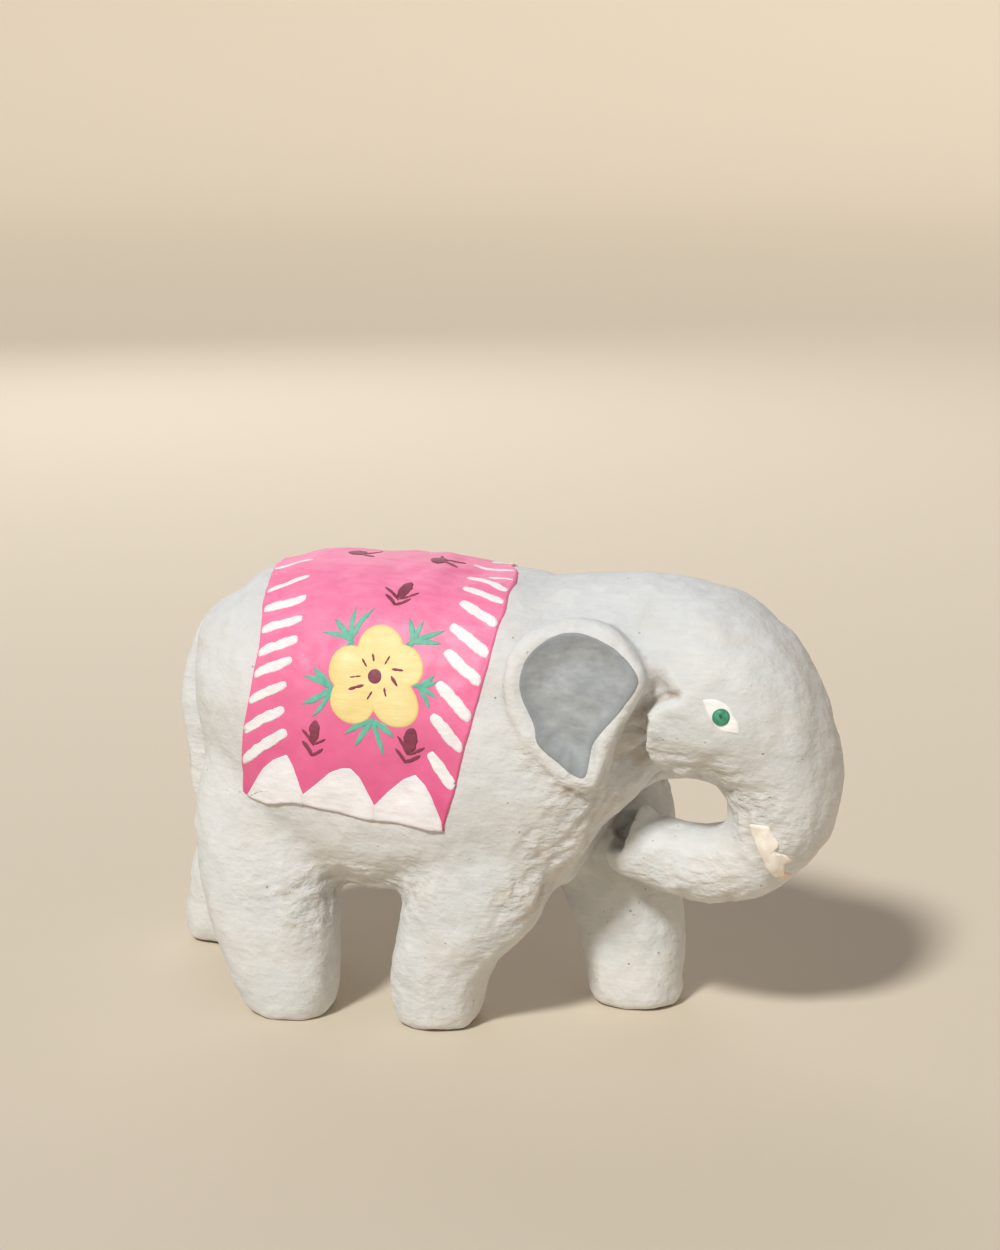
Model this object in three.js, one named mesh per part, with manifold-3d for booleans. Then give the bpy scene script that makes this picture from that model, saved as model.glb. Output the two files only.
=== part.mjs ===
// Carved elephant figurine: a body, a head and four legs joined on dowels, with applied ears, tail,
// tusk strips, bead eyes and a thin saddle cloth. Millimetres, +Z up, head towards +X.
import * as THREE from 'three';
import { mergeVertices } from 'three/addons/utils/BufferGeometryUtils.js';
import Module from 'manifold-3d';

const wasm = await Module();
wasm.setup();

// Driving dimensions.
const gap = 0.3; // glue line kept open between two pieces
const neckX = 31; // saw cut where the head joins the body
const trunkCut = { x: 50.5, z: 40, lean: 0.6435, top: 45.5 }; // saw cut under the tusks
const clothThickness = 0.8;
const tuskThickness = 0.6;
const legDowel = { radius: 3, length: 18 };
const neckDowel = { radius: 3.5, length: 22, heights: [60, 78] };
const trunkDowel = { radius: 2, length: 12 };
const trunkRoom = 1; // kept open between the trunk and the leg it passes
const eye = { x: 46.2, z: 66.8, radius: 1.9, height: 1.1 };
const far = 200; // longer than the whole figurine
// How finely each kind of limb is drawn: sides around it and rings along it.
const facets = {
  torso: [32, 24], head: [28, 36], leg: [20, 14], scoop: [14, 10], tail: [10, 18], ear: [28, 12],
};

// Stations run along a spine: x, y and z place the centre, deep is half the thickness across the
// spine in side view, wide is half the width along Y, and square is the exponent of the section.
const torsoStations = [
  { x: -62.6, y: 0, z: 48, deep: 20.2, wide: 13.5, square: 2.2 },
  { x: -55, y: 0, z: 50, deep: 25, wide: 21, square: 2.4 },
  { x: -43.5, y: 0, z: 54.8, deep: 30.8, wide: 27, square: 2.5 },
  { x: -24, y: 0, z: 55.6, deep: 32.6, wide: 28, square: 2.6 },
  { x: -4, y: 0, z: 55.5, deep: 31.7, wide: 27, square: 2.5 },
  { x: 12, y: 0, z: 59.2, deep: 29.3, wide: 23.8, square: 2.4 },
  { x: 26, y: 0, z: 65.6, deep: 23.6, wide: 19, square: 2.3 },
  { x: 40, y: 0, z: 68, deep: 21, wide: 17, square: 2.3 },
  { x: 54, y: 0, z: 68, deep: 19, wide: 16, square: 2.3 },
];
const headStations = [
  { x: 12, y: 0, z: 67, deep: 20, wide: 15, square: 2.1 },
  { x: 24, y: 0, z: 68.5, deep: 19.5, wide: 17, square: 2.1 },
  { x: 34, y: 0, z: 68.8, deep: 19.8, wide: 18.5, square: 2.2 },
  { x: 42.8, y: 0, z: 65.4, deep: 17.9, wide: 18.5, square: 2.2 },
  { x: 50.4, y: 0, z: 58.8, deep: 12.9, wide: 15.5, square: 2.2 },
  { x: 53.9, y: 0, z: 50.5, deep: 10.5, wide: 12.5, square: 2.3 },
  { x: 53, y: 0, z: 42, deep: 9.6, wide: 11, square: 2.3 },
  { x: 48.2, y: 0, z: 36, deep: 8, wide: 9.5, square: 2.4 },
  { x: 41, y: 0, z: 33.5, deep: 7, wide: 8.8, square: 2.6 },
  { x: 33, y: 0, z: 33.7, deep: 6.8, wide: 8.2, square: 2.6 },
  { x: 26, y: 0, z: 35, deep: 6.8, wide: 7.4, square: 2.5 },
  { x: 19.6, y: 0, z: 36.6, deep: 6.4, wide: 6.4, square: 2.4 },
];
const legStations = {
  leg_hind_right: [
    { x: -49, y: -14, z: 54, deep: 13, wide: 9, square: 2.2 },
    { x: -45.4, y: -15.5, z: 30, deep: 13.6, wide: 11.5, square: 2.4 },
    { x: -42.2, y: -17, z: 14, deep: 11.8, wide: 10.5, square: 2.6 },
    { x: -38.2, y: -17.5, z: -6, deep: 7.4, wide: 9, square: 2.6 },
  ],
  leg_hind_left: [
    { x: -49, y: 13, z: 56, deep: 15, wide: 10.5, square: 2.3 },
    { x: -57, y: 15.5, z: 32, deep: 13.2, wide: 11.5, square: 2.4 },
    { x: -67.5, y: 17.5, z: 14, deep: 10.3, wide: 10, square: 2.4 },
    { x: -72, y: 18, z: -6, deep: 10, wide: 9, square: 2.5 },
  ],
  leg_front_right: [
    { x: 7.5, y: -10, z: 54, deep: 12, wide: 10, square: 2.2 },
    { x: -2, y: -13, z: 30, deep: 13.6, wide: 11.5, square: 2.4 },
    { x: -8.8, y: -13.5, z: 14, deep: 9.4, wide: 10, square: 2.6 },
    { x: -11.3, y: -13.5, z: -6, deep: 9.2, wide: 9, square: 2.6 },
  ],
  leg_front_left: [
    { x: 13.5, y: 11, z: 54, deep: 14, wide: 10, square: 2.2 },
    { x: 16.4, y: 13, z: 30, deep: 12.8, wide: 10, square: 2.4 },
    { x: 21, y: 11.5, z: 14, deep: 10, wide: 9.5, square: 2.6 },
    { x: 23.2, y: 9.6, z: -6, deep: 9.4, wide: 8.8, square: 2.6 },
  ],
};
const tailStations = [
  { x: -43, y: -1, z: 84.6, deep: 3, wide: 2.8, square: 2 },
  { x: -52, y: -1.5, z: 81.5, deep: 3, wide: 2.8, square: 2 },
  { x: -59.4, y: -2, z: 76, deep: 3, wide: 2.7, square: 2 },
  { x: -64.7, y: -3, z: 68.5, deep: 2.9, wide: 2.6, square: 2 },
  { x: -66.6, y: -4, z: 59, deep: 2.8, wide: 2.5, square: 2 },
  { x: -66, y: -4.5, z: 48, deep: 2.7, wide: 2.5, square: 2 },
  { x: -64, y: -5, z: 38, deep: 2.7, wide: 2.6, square: 2 },
  { x: -61.5, y: -5.5, z: 30, deep: 2.6, wide: 2.8, square: 2 },
];
// The hollow of the neck between the ear and the cheek, scooped out of each side.
const scoopStations = [
  { x: 20, y: -26, z: 30, deep: 5, wide: 9, square: 2 },
  { x: 27, y: -25, z: 44, deep: 7, wide: 13, square: 2 },
  { x: 33, y: -23, z: 56, deep: 7, wide: 12, square: 2 },
  { x: 37, y: -22, z: 68, deep: 5, wide: 7, square: 2 },
];

// Outlines in side view, as x and z. The chest line is cut straight across from leg to leg.
const chestOutline = [[8, 16], [15.6, 33.5], [22.5, 43.5], [30, 50.2], [60, 50.2], [60, 16]];
const ear = {
  centre: { x: 20.5, z: 68 },
  outline: [
    [32.6, 72.8], [30, 77.6], [25.5, 81.4], [19, 83], [12.3, 81.4], [7.8, 76.5], [7, 69],
    [9.2, 63], [13.5, 57], [21, 51], [24.6, 53.5], [26.6, 61.5],
  ],
  side: 22.4, leanForward: -0.15, leanIn: 0.017, rim: 1.4, hollow: 1, thick: 6,
  hollowEnds: 0.5, rimStarts: 0.87, rimRound: 0.3, // shares of the way out from the centre
};
const clothOutline = [
  [-46.5, 100], [-44, 84], [-43.4, 72], [-44.6, 57], [-45.4, 46.2], [-43, 44.3], [-24, 43], [-3.8, 42.4],
  [-1.4, 52], [1.6, 65], [3.8, 76], [3.6, 84], [1.6, 100],
];
const tuskOutline = [
  [49.8, 45.8], [52.8, 45.6], [54.4, 41.5], [57, 37], [60, 33.5], [57.4, 31.6], [54, 36], [51.3, 41],
];
const lipNotch = [[10, 52], [10, 33], [17, 34.4], [24.2, 35.2], [25.2, 38.4], [26, 42], [27, 52]];

const finishes = {
  skin: { color: 0xd9d9d6, roughness: 0.85, metalness: 0 },
  saddle: { color: 0xf06aa4, roughness: 0.7, metalness: 0 },
  tusk: { color: 0xfbf3e6, roughness: 0.7, metalness: 0 },
  eye: { color: 0x3f9a78, roughness: 0.35, metalness: 0 },
  dowel: { color: 0xd8b98a, roughness: 0.6, metalness: 0 },
};

function toSolid(geometry) {
  geometry.deleteAttribute('normal');
  geometry.deleteAttribute('uv');
  const merged = mergeVertices(geometry, 1e-4);
  const vertProperties = new Float32Array(merged.attributes.position.array);
  const triVerts = new Uint32Array(merged.index.array);
  return new wasm.Manifold(new wasm.Mesh({ numProp: 3, vertProperties, triVerts }));
}

function toGeometry(solid) {
  const mesh = solid.getMesh();
  const geometry = new THREE.BufferGeometry();
  geometry.setAttribute('position', new THREE.BufferAttribute(mesh.vertProperties, 3));
  geometry.setIndex(new THREE.BufferAttribute(mesh.triVerts, 1));
  return geometry;
}

// The biggest body of a cut: stray slivers are dropped.
function biggest(solid) {
  return solid.decompose().reduce((a, b) => (b.volume() > a.volume() ? b : a));
}

// A point of a unit superellipse.
function sectionPoint(angle, exponent) {
  const c = Math.cos(angle);
  const s = Math.sin(angle);
  const r = (Math.abs(c) ** exponent + Math.abs(s) ** exponent) ** (-1 / exponent);
  return [c * r, s * r];
}

// A sphere drawn out along the spine of the stations: every ring takes its section from them.
// grow makes the limb fatter all over, and blunt squares its two ends.
function limb(stations, sides, rings, grow = 0, blunt = 4) {
  const spine = new THREE.CatmullRomCurve3(stations.map((s) => new THREE.Vector3(s.x, s.y, s.z)));
  const sizes = new THREE.CatmullRomCurve3(stations.map((s) => new THREE.Vector3(s.wide, s.deep, s.square)));
  const geometry = new THREE.SphereGeometry(1, sides, rings);
  const position = geometry.attributes.position;
  for (let i = 0; i < position.count; i += 1) {
    const p = new THREE.Vector3().fromBufferAttribute(position, i).clampScalar(-1, 1);
    const t = (1 - p.y) / 2;
    const size = sizes.getPoint(t);
    const tangent = spine.getTangent(t);
    const side = new THREE.Vector3(0, 1, 0).addScaledVector(tangent, -tangent.y).normalize();
    const up = new THREE.Vector3().crossVectors(tangent, side);
    const ring = (1 - Math.abs(p.y) ** blunt) ** (1 / blunt);
    const [c, s] = sectionPoint(Math.atan2(p.z, p.x), size.z);
    const at = spine.getPoint(t).addScaledVector(tangent, -p.y * grow);
    at.addScaledVector(side, c * (size.x + grow) * ring);
    at.addScaledVector(up, s * (size.y + grow) * ring);
    position.setXYZ(i, at.x, at.y, at.z);
  }
  return toSolid(geometry);
}

// A slab with an outline in side view, between two planes across Y.
function sideSlab(outline, yLow, yHigh) {
  const shape = new THREE.Shape(outline.map(([x, z]) => new THREE.Vector2(x, z)));
  const geometry = new THREE.ExtrudeGeometry(shape, { depth: yHigh - yLow, bevelEnabled: false });
  return toSolid(geometry.rotateX(Math.PI / 2).translate(0, yHigh, 0));
}

function block(x, z, width, height) {
  return toSolid(new THREE.BoxGeometry(width, far, height).translate(x, 0, z));
}

// A round pin about its middle point.
function pin(middle, direction, radius, length) {
  const turn = new THREE.Quaternion().setFromUnitVectors(new THREE.Vector3(0, 1, 0), direction);
  const geometry = new THREE.CylinderGeometry(radius, radius, length, 16).applyQuaternion(turn);
  return toSolid(geometry.translate(middle.x, middle.y, middle.z));
}

// The pieces in front of the neck cut and below the trunk cut, moved off the cut by slack.
function frontOfNeck(slack) {
  return block(neckX + slack + far / 2, 0, far, far * 2);
}

function belowTrunkCut(slack) {
  const slope = new THREE.BoxGeometry(far, far, far).translate(-far / 2 + slack, 0, 0);
  slope.rotateY(-trunkCut.lean).translate(trunkCut.x, 0, trunkCut.z);
  return toSolid(slope).intersect(block(0, trunkCut.top + slack - far / 2, far * 2, far));
}

function makeEar() {
  const { centre, rim, hollow, thick, hollowEnds, rimStarts, rimRound } = ear;
  const edge = new THREE.CatmullRomCurve3(ear.outline.map(([x, z]) => new THREE.Vector3(x, 0, z)), true);
  const geometry = new THREE.SphereGeometry(1, ...facets.ear);
  const position = geometry.attributes.position;
  for (let i = 0; i < position.count; i += 1) {
    const p = new THREE.Vector3().fromBufferAttribute(position, i).clampScalar(-1, 1);
    const reach = Math.hypot(p.x, p.z);
    const turn = (Math.atan2(p.z, p.x) / (2 * Math.PI) + 1) % 1;
    const at = edge.getPoint(turn);
    const x = centre.x + (at.x - centre.x) * reach;
    const z = centre.z + (at.z - centre.z) * reach;
    const lean = ear.leanForward * (x - centre.x) - ear.leanIn * Math.max(0, z - centre.z) ** 2;
    const plane = ear.side + lean;
    const rise = THREE.MathUtils.smoothstep(reach, hollowEnds, rimStarts) * (rim + hollow) - hollow;
    const outer = rise - (1 - Math.abs(p.y) ** rimRound) * rim * (reach > rimStarts ? 1 : 0);
    position.setXYZ(i, x, -(plane + (p.y < 0 ? outer : -thick * Math.sqrt(p.y))), z);
  }
  return toSolid(geometry);
}

function makeEye(skull) {
  const ray = skull.intersect(block(eye.x, eye.z, 0.2, 0.2));
  const surface = ray.boundingBox().min[1];
  const bead = new THREE.SphereGeometry(eye.radius, 16, 10).scale(1, eye.height / eye.radius, 1);
  return toSolid(bead.translate(eye.x, surface - gap, eye.z));
}

function flip(solid) {
  return solid.mirror([0, 1, 0]);
}

const torsoWhole = limb(torsoStations, ...facets.torso);
const torsoGrown = limb(torsoStations, ...facets.torso, gap);
const headWhole = limb(headStations, ...facets.head, 0, 5);
const headGrown = limb(headStations, ...facets.head, gap, 5);
const scoop = limb(scoopStations, ...facets.scoop);
const scoopShrunk = limb(scoopStations, ...facets.scoop, -gap);
const chest = sideSlab(chestOutline, -far / 2, far / 2);
const torsoClear = torsoGrown.subtract(scoopShrunk).subtract(flip(scoopShrunk));
const chestShrunk = chest.translate(gap, 0, -gap);

// Every pin sits half in one piece and half in the other: name, the two pieces, place and size.
const pins = Object.entries(legStations).map(([name, stations]) => {
  const [hip, joint, knee] = stations.map((s) => new THREE.Vector3(s.x, s.y, s.z));
  const direction = hip.sub(knee).normalize();
  const into = ['torso', name];
  return { name: name.replace('leg', 'dowel'), into, middle: joint, direction, size: legDowel };
});
neckDowel.heights.forEach((z, i) => {
  const middle = new THREE.Vector3(neckX, 0, z);
  const direction = new THREE.Vector3(1, 0, 0);
  const name = ['dowel_neck_lower', 'dowel_neck_upper'][i];
  pins.push({ name, into: ['torso', 'head'], middle, direction, size: neckDowel });
});
pins.push({
  name: 'dowel_trunk',
  into: ['head', 'trunk_end'],
  middle: new THREE.Vector3(trunkCut.x, 0, trunkCut.z),
  direction: new THREE.Vector3(Math.cos(trunkCut.lean), 0, Math.sin(trunkCut.lean)),
  size: trunkDowel,
});

function makeCloth() {
  const outer = limb(torsoStations, ...facets.torso, gap + clothThickness);
  return biggest(outer.subtract(torsoGrown).intersect(sideSlab(clothOutline, -far / 2, far / 2)));
}

function makeTusk() {
  const outer = limb(headStations, ...facets.head, gap + tuskThickness, 5);
  return biggest(outer.subtract(headGrown).intersect(sideSlab(tuskOutline, -far / 2, -3)));
}

const pieces = {
  torso: torsoWhole.subtract(frontOfNeck(-gap / 2)).subtract(scoop).subtract(flip(scoop)).subtract(chest),
  head: biggest(headWhole.subtract(belowTrunkCut(gap / 2)).intersect(frontOfNeck(gap / 2))),
  trunk_end: biggest(
    headWhole.intersect(belowTrunkCut(-gap / 2)).subtract(sideSlab(lipNotch, -far / 2, far / 2)),
  ),
  saddle_cloth: makeCloth(),
  tail: biggest(limb(tailStations, ...facets.tail).subtract(
    limb(torsoStations, ...facets.torso, 2 * gap + clothThickness),
  )),
};
for (const [name, stations] of Object.entries(legStations)) {
  const leg = limb(stations, ...facets.leg).subtract(block(0, -far / 2, far * 2, far));
  const reachesChest = name === 'leg_front_left';
  pieces[name] = biggest(leg.subtract(reachesChest ? torsoClear.subtract(chestShrunk) : torsoClear));
}
const trunkPath = limb(headStations, ...facets.head, trunkRoom, 5);
pieces.leg_front_left = biggest(pieces.leg_front_left.subtract(trunkPath));
const earClear = torsoClear.add(headGrown.intersect(frontOfNeck(-gap)));
const onRight = {
  ear: biggest(makeEar().subtract(earClear)),
  tusk: makeTusk(),
  eye: biggest(makeEye(headWhole).subtract(headGrown)),
};
for (const [name, solid] of Object.entries(onRight)) {
  pieces[`${name}_right`] = solid;
  pieces[`${name}_left`] = flip(solid);
}
for (const { name, into, middle, direction, size } of pins) {
  for (const piece of into) {
    const hole = pin(middle, direction, size.radius + gap, size.length + 2 * gap);
    pieces[piece] = pieces[piece].subtract(hole);
  }
  pieces[name] = pin(middle, direction, size.radius, size.length);
}

function finishOf(name) {
  const kind = Object.keys(finishes).find((key) => name.startsWith(key));
  return finishes[kind ?? 'skin'];
}

// The figurine stands on its four soles, with the origin under the middle of its box.
const elephant = new THREE.Group();
for (const [name, solid] of Object.entries(pieces)) {
  const mesh = new THREE.Mesh(toGeometry(solid), new THREE.MeshStandardMaterial(finishOf(name)));
  mesh.name = name;
  elephant.add(mesh);
}
const box = new THREE.Box3().setFromObject(elephant);
const middle = box.getCenter(new THREE.Vector3());
elephant.position.set(-middle.x, -middle.y, -box.min.z);

export default elephant;
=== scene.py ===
import math

import bmesh
import bpy
import numpy as np
from mathutils import Matrix, Vector, noise
from mathutils.bvhtree import BVHTree
from numpy.linalg import norm


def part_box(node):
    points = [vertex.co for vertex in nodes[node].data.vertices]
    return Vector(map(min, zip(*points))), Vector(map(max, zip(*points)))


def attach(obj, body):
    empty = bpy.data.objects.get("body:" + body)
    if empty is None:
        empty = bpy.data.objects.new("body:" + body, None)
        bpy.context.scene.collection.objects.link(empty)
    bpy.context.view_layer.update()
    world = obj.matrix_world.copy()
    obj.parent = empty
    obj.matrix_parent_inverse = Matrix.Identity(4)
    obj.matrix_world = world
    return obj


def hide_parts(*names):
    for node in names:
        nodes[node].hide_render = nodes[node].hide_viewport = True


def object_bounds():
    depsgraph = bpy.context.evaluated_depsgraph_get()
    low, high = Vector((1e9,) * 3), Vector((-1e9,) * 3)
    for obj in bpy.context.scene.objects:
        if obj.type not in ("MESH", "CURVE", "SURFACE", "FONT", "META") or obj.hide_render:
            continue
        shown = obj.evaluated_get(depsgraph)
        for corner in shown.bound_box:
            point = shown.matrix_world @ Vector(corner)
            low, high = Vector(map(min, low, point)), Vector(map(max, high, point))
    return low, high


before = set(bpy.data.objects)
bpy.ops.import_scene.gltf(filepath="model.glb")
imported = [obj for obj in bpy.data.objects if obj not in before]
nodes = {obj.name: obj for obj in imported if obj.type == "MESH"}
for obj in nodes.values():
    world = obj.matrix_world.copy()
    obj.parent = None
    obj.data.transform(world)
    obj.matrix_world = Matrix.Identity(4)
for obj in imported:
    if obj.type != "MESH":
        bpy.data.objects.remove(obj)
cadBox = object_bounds()
mm = 0.001
tiny = 1e-6  # metres: points this close are one

# The figurine stands with its head towards +X, so its right side looks along -Y.
sides = {"right": -1, "left": 1}
legNames = [f"leg_{end}_{side}" for end in ("hind", "front") for side in sides]
earNames = [f"ear_{side}" for side in sides]
skinNames = ["torso", "head", "trunk_end", "tail"] + legNames + earNames
dowelNames = [name for name in nodes if name.startswith("dowel")]


# Small tools. Points are arrays in millimetres, and only become metres where they enter a mesh.

def smoothStep(value, low, high):
    t = np.clip((value - low) / (high - low), 0.0, 1.0)
    return t * t * (3 - 2 * t)


def read(items, name, kind=np.float32, width=3):
    flat = np.empty(len(items) * width, kind)
    items.foreach_get(name, flat)
    return flat.reshape(-1, width)


def pointsOf(mesh):
    return read(mesh.vertices, "co").astype(float) / mm


def setPoints(mesh, points):
    mesh.vertices.foreach_set("co", (points * mm).astype(np.float32).ravel())
    mesh.update()


def normalsOf(mesh):
    return read(mesh.vertex_normals, "vector").astype(float)


def storeOnPoints(mesh, name, values, kind="FLOAT"):
    layer = mesh.attributes.new(name, kind, "POINT")
    layer.data.foreach_set("value" if kind == "FLOAT" else "vector", values.astype(np.float32).ravel())


def noiseAt(points, wavelength, seed):
    shift = Vector((seed * 17.3, seed * 5.1, seed * 9.7))
    return np.array([noise.noise(Vector(p) + shift) for p in points / wavelength])


# Every point moves towards the middle of its neighbours, by its own share of the way.
def relax(points, edges, share, rounds):
    count = len(points)
    a, b = edges[:, 0], edges[:, 1]
    valence = np.maximum(np.bincount(a, minlength=count) + np.bincount(b, minlength=count), 1)
    for _ in range(rounds):
        middle = np.stack([
            np.bincount(a, points[b, k], count) + np.bincount(b, points[a, k], count)
            for k in range(3)
        ], 1) / valence[:, None]
        points = points + (middle - points) * share[:, None]
    return points


def distanceToLine(points, line):
    best = np.full(len(points), 1e9)
    for start, end in zip(line[:-1], line[1:]):
        start, way = np.array(start, float), np.array(end, float) - np.array(start, float)
        t = np.clip((points - start) @ way / (way @ way), 0, 1)
        best = np.minimum(best, norm(points - start - t[:, None] * way, axis=1))
    return best


# A smooth line through knots given as (where, value).
def lineThrough(knots):
    at, values = np.array(knots, float).T
    slopes = np.gradient(values, at)

    def follow(x):
        x = np.clip(x, at[0], at[-1])
        i = np.clip(np.searchsorted(at, x) - 1, 0, len(at) - 2)
        span = at[i + 1] - at[i]
        t = (x - at[i]) / span
        rise = values[i + 1] - values[i]
        bend = t * (1 - t) * ((slopes[i] * span - rise) * (1 - t) - (slopes[i + 1] * span - rise) * t)
        return values[i] + rise * t + bend
    return follow


def treeOf(mesh):
    bm = bmesh.new()
    bm.from_mesh(mesh)
    tree = BVHTree.FromBMesh(bm)
    bm.free()
    return tree


# Gives a sheet its back. Each point's height and way out are stored on it beforehand.
def thicken(bm, sheet, height, out, thickness):
    back = bmesh.ops.extrude_face_region(bm, geom=sheet)["geom"]
    for vertex in {v for face in sheet if face.is_valid for v in face.verts}:
        vertex.co += vertex[out] * (vertex[height] - thickness) * mm
    for vertex in back:
        if isinstance(vertex, bmesh.types.BMVert):
            vertex.co += vertex[out] * vertex[height] * mm


def stand(name, data, place=(0, 0, 0), towards=None):
    thing = bpy.data.objects.new(name, data)
    thing.location = place
    if towards:
        thing.rotation_euler = Vector(towards).to_track_quat("-Z", "Y").to_euler()
    bpy.context.scene.collection.objects.link(thing)
    return thing


def newPiece(name, bm, material, flat=()):
    mesh = bpy.data.meshes.new(name)
    for face in bm.faces:
        face.smooth = face not in flat
    bm.to_mesh(mesh)
    bm.free()
    mesh.materials.append(material)
    return stand(name, mesh)


def hexColour(text):
    channels = [int(text[i:i + 2], 16) / 255 for i in (1, 3, 5)]
    return tuple(c / 12.92 if c <= 0.04045 else ((c + 0.055) / 1.055) ** 2.4 for c in channels) + (1.0,)


# Adds a node. Each input, by its name or number, is given a value or another node's output, and any
# other name is a setting of the node itself.
def addNode(material, kind, given):
    tree = material.node_tree
    node = tree.nodes.new(kind)
    for key, value in given.items():
        if isinstance(value, bpy.types.NodeSocket):
            tree.links.new(value, node.inputs[key])
        elif isinstance(key, int) or key in node.inputs:
            node.inputs[key].default_value = hexColour(value) if isinstance(value, str) else value
        else:
            setattr(node, key, value)
    return node


# Materials

def newMaterial(name, roughness):
    material = bpy.data.materials.new(name)
    material.use_nodes = True
    shader = material.node_tree.nodes["Principled BSDF"]
    shader.inputs["Roughness"].default_value = roughness
    return material, shader


# Turns a value into a share, 0 at the first limit and 1 at the second.
def shareOf(material, value, first, second):
    limits = {"Value": value, "From Min": first, "From Max": second}
    return addNode(material, "ShaderNodeMapRange", limits).outputs[0]


# A share that the mesh stores on its points, such as the dirt in the creases.
def stored(material, name, first, second):
    value = addNode(material, "ShaderNodeAttribute", {"attribute_name": name}).outputs["Fac"]
    return shareOf(material, value, first, second)


# A noise with its grain given in millimetres along X, Y and Z, in steep or soft steps.
def grain(material, size, low=0.35, high=0.65, detail=3):
    where = addNode(material, "ShaderNodeTexCoord", {}).outputs["Object"]
    perMetre = [1 / (s * mm) for s in size]
    scaled = addNode(material, "ShaderNodeMapping", {"Vector": where, "Scale": perMetre}).outputs[0]
    spots = addNode(material, "ShaderNodeTexNoise", {"Vector": scaled, "Scale": 1, "Detail": detail})
    return shareOf(material, spots.outputs["Fac"], low, high)


# High only where every one of the shares is high.
def together(material, share, *others):
    for other in others:
        factors = {"operation": "MULTIPLY", 0: share, 1: other}
        share = addNode(material, "ShaderNodeMath", factors).outputs[0]
    return share


# Lays a colour over another one, as far as the shares let it show.
def coat(material, under, colour, *shares):
    ends = {"data_type": "RGBA", 0: together(material, *shares), 6: under, 7: colour}
    return addNode(material, "ShaderNodeMix", ends).outputs[2]


# Bumps laid on one another: what they follow, their depth in millimetres (pressed in where
# negative) and their strength.
def relief(material, shader, bumps):
    given = {}
    for height, depth, strength in bumps:
        given |= {"Height": height, "Distance": abs(depth) * mm, "Strength": strength}
        given["invert"] = depth < 0
        given["Normal"] = addNode(material, "ShaderNodeBump", given).outputs[0]
    material.node_tree.links.new(given["Normal"], shader.inputs["Normal"])


# Gesso under grey emulsion: chalky and matt, with brush marks, pinholes and dust in the creases. Its
# hollows are darkened as painted shade, and its raised spots are paled as a painted highlight.
skinTones = {
    "cool": "#D0D3D4", "plain": "#DCDDDD", "brushed": "#E6E6E4", "warm": "#D8D0C4",
    # the two tones after dusty are painted light: a highlight on the raised spots, then shade in the
    # hollows
    "dusty": "#CFC3B2", "paintedBumpHighlight": "#E9E8E5", "paintedCreaseShade": "#AB9780", "pinhole": "#8B7D6C",
    "pinholeSpacing": 2.4,  # mm
    "roughness": (0.76, 0.92),  # in its glossiest and its dullest places
}


def makeSkinPaint():
    glossiest, dullest = skinTones["roughness"]
    material, shader = newMaterial("matteGessoPaint", dullest)
    streaks = grain(material, (9, 3, 1.1), 0.3, 0.75)
    # pinholes about 0.25 mm across, one in every few millimetres where the filler is rough
    where = addNode(material, "ShaderNodeTexCoord", {}).outputs["Object"]
    perMetre = 1 / (skinTones["pinholeSpacing"] * mm)
    cells = addNode(material, "ShaderNodeTexVoronoi", {"Vector": where, "Scale": perMetre})
    holes = shareOf(material, cells.outputs["Distance"], 0.11, 0.06)
    holes = together(material, holes, grain(material, (7, 7, 7), 0.52, 0.62))
    colour = skinTones["cool"]
    for tone, *shares in (
        ("plain", grain(material, (26, 26, 18))),
        ("brushed", streaks, 0.35),
        ("warm", grain(material, (14, 12, 11), 0.5, 0.72), 0.35),
        ("dusty", stored(material, "dirt", 0.1, 1.0), grain(material, (4, 4, 3), 0.38, 0.66), 0.5),
        # painted highlight: paler where the surface stands above its smoothed neighbours
        ("paintedBumpHighlight", stored(material, "cavity", -0.01, -0.12), 0.45),
        # painted shade: warm brown in the hollows
        ("paintedCreaseShade", stored(material, "cavity", 0.03, 0.3), grain(material, (2.4, 2.4, 2.4), 0.3, 0.6), 0.6),
        ("pinhole", holes, 0.55),
    ):
        colour = coat(material, colour, skinTones[tone], *shares)
    material.node_tree.links.new(colour, shader.inputs["Base Color"])
    chalk = grain(material, (1.1, 1.1, 0.9), 0.2, 0.8, 6)
    crust = grain(material, (2.6, 2.6, 1.5), 0.3, 0.7, 7)
    torn = together(material, crust, stored(material, "dirt", 0.0, 0.7))
    bumps = [(chalk, 0.17, 0.7), (torn, 0.4, 0.9), (streaks, 0.1, 0.5), (holes, -0.2, 0.8)]
    relief(material, shader, bumps)
    limits = {"Value": grain(material, (6, 6, 6)), "To Min": glossiest, "To Max": dullest}
    dull = addNode(material, "ShaderNodeMapRange", limits).outputs[0]
    material.node_tree.links.new(dull, shader.inputs["Roughness"])
    return material


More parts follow.
